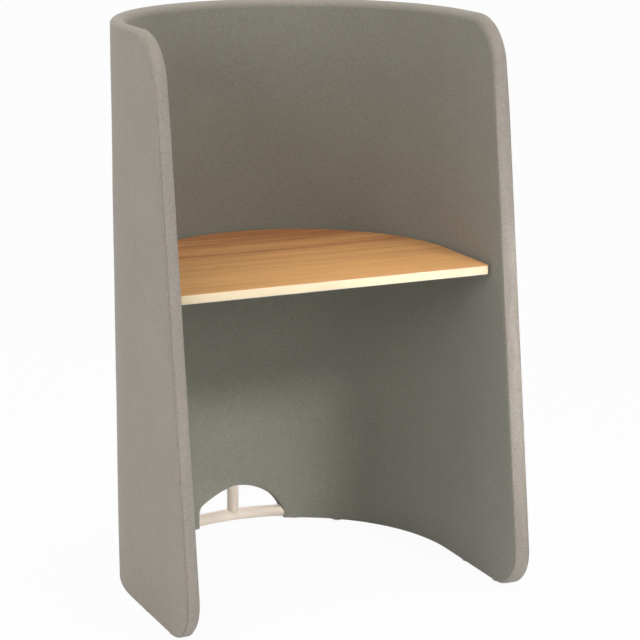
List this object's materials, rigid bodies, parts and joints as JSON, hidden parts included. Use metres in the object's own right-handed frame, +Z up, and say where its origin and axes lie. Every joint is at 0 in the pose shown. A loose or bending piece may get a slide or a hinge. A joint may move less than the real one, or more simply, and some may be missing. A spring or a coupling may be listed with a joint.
{
  "type": "study carrel",
  "caption": "Free-standing study carrel: a curved fabric-covered privacy screen on a bent steel tube frame, with a fixed wood-grain desk inside and levelling feet.",
  "frame": {"origin": "on the floor, in the middle of the footprint", "axes": "+Z up; +Y the way a sitter faces, towards the round back; -Y the open front; +X the sitter's right"},
  "size_m": [0.82, 0.7476, 1.27],
  "materials": {
    "cover_fabric": "matte",
    "lining_fabric": "matte",
    "wadding": "matte",
    "foam": "matte",
    "frame_paint": "satin",
    "steel": "satin",
    "particle_board": "matte",
    "wood_laminate": "satin",
    "backing_laminate": "matte",
    "edge_band": "satin",
    "bracket_paint": "satin",
    "foot_plastic": "matte"
  },
  "bodies": {
    "carrel": {"outer_cover": "cover_fabric", "inner_cover": "cover_fabric", "edge_gusset": "cover_fabric", "arch_facing": "lining_fabric", "left_closing_flap": "lining_fabric", "right_closing_flap": "lining_fabric", "outer_wadding": "wadding", "inner_wadding": "wadding", "edge_wadding": "wadding", "left_side_core": "foam", "right_side_core": "foam", "left_back_core": "foam", "right_back_core": "foam", "left_front_tube": "frame_paint", "right_front_tube": "frame_paint", "left_side_upright": "frame_paint", "right_side_upright": "frame_paint", "top_back_rail": "frame_paint", "bottom_back_rail": "frame_paint", "back_upright": "frame_paint", "joint_spigots": "steel", "joint_screws": "steel", "desk_core": "particle_board", "desk_top_laminate": "wood_laminate", "desk_backing_laminate": "backing_laminate", "desk_edge_band": "edge_band", "left_bracket": "bracket_paint", "right_bracket": "bracket_paint", "back_bracket": "bracket_paint", "bracket_bolts": "steel", "bracket_spacers": "steel", "bracket_rivet_nuts": "steel", "desk_screws": "steel", "foot_inserts": "steel"},
    "pad_1": {"foot_pad_1": "foot_plastic"},
    "stud_1": {"foot_stud_1": "steel"},
    "pad_2": {"foot_pad_2": "foot_plastic"},
    "stud_2": {"foot_stud_2": "steel"},
    "pad_3": {"foot_pad_3": "foot_plastic"},
    "stud_3": {"foot_stud_3": "steel"},
    "pad_4": {"foot_pad_4": "foot_plastic"},
    "stud_4": {"foot_stud_4": "steel"},
    "pad_5": {"foot_pad_5": "foot_plastic"},
    "stud_5": {"foot_stud_5": "steel"},
    "pad_6": {"foot_pad_6": "foot_plastic"},
    "stud_6": {"foot_stud_6": "steel"}
  },
  "joints": [
    {"name": "foot_1_height", "type": "slide", "parent": "carrel", "child": "pad_1", "axis": [0, 0, -1], "range_m": [0, 0.012]},
    {"name": "foot_1_turn", "type": "hinge", "parent": "pad_1", "child": "stud_1", "pos_m": [-0.393, -0.26104, 0.01], "axis": [0, 0, -1], "range_deg": [0, 3460]},
    {"name": "foot_2_height", "type": "slide", "parent": "carrel", "child": "pad_2", "axis": [0, 0, -1], "range_m": [0, 0.012]},
    {"name": "foot_2_turn", "type": "hinge", "parent": "pad_2", "child": "stud_2", "pos_m": [-0.393, -0.11617, 0.01], "axis": [0, 0, -1], "range_deg": [0, 3460]},
    {"name": "foot_3_height", "type": "slide", "parent": "carrel", "child": "pad_3", "axis": [0, 0, -1], "range_m": [0, 0.012]},
    {"name": "foot_3_turn", "type": "hinge", "parent": "pad_3", "child": "stud_3", "pos_m": [-0.24195, 0.27351, 0.01], "axis": [0, 0, -1], "range_deg": [0, 3460]},
    {"name": "foot_4_height", "type": "slide", "parent": "carrel", "child": "pad_4", "axis": [0, 0, -1], "range_m": [0, 0.012]},
    {"name": "foot_4_turn", "type": "hinge", "parent": "pad_4", "child": "stud_4", "pos_m": [0.393, -0.26104, 0.01], "axis": [0, 0, -1], "range_deg": [0, 3460]},
    {"name": "foot_5_height", "type": "slide", "parent": "carrel", "child": "pad_5", "axis": [0, 0, -1], "range_m": [0, 0.012]},
    {"name": "foot_5_turn", "type": "hinge", "parent": "pad_5", "child": "stud_5", "pos_m": [0.393, -0.11617, 0.01], "axis": [0, 0, -1], "range_deg": [0, 3460]},
    {"name": "foot_6_height", "type": "slide", "parent": "carrel", "child": "pad_6", "axis": [0, 0, -1], "range_m": [0, 0.012]},
    {"name": "foot_6_turn", "type": "hinge", "parent": "pad_6", "child": "stud_6", "pos_m": [0.24195, 0.27351, 0.01], "axis": [0, 0, -1], "range_deg": [0, 3460]}
  ],
  "couplings": [
    {"joint": "foot_1_turn", "follows": "foot_1_height", "rad_per_m": 5026.5},
    {"joint": "foot_2_turn", "follows": "foot_2_height", "rad_per_m": 5026.5},
    {"joint": "foot_3_turn", "follows": "foot_3_height", "rad_per_m": 5026.5},
    {"joint": "foot_4_turn", "follows": "foot_4_height", "rad_per_m": 5026.5},
    {"joint": "foot_5_turn", "follows": "foot_5_height", "rad_per_m": 5026.5},
    {"joint": "foot_6_turn", "follows": "foot_6_height", "rad_per_m": 5026.5}
  ]
}
